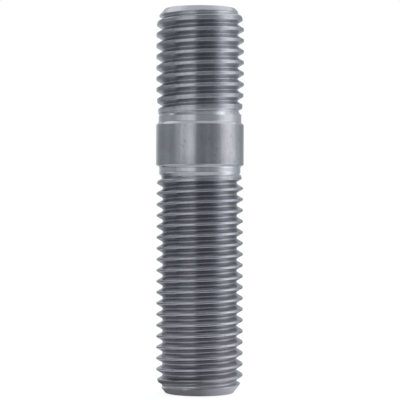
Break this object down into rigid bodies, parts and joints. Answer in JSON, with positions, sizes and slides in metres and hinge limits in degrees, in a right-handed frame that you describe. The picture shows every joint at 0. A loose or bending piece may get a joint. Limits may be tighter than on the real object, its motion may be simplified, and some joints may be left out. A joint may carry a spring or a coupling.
{
  "type": "double ended stud",
  "caption": "Double ended steel stud with a short threaded metal end, a plain full-diameter shank and a long threaded nut end, both threads right-hand",
  "frame": {"origin": "centre of the nut end's flat face, on which the stud stands", "axes": "+Z runs along the stud's axis to the metal end; on the +X side the crests of the nut end's thread lie 1.28 mm and whole pitches of 2 mm above the origin, the first at full height 3.28 mm up"},
  "size_m": [0.016, 0.016, 0.07],
  "materials": {
    "steel": "satin"
  },
  "bodies": {
    "root": {"stud": "steel"}
  },
  "joints": []
}
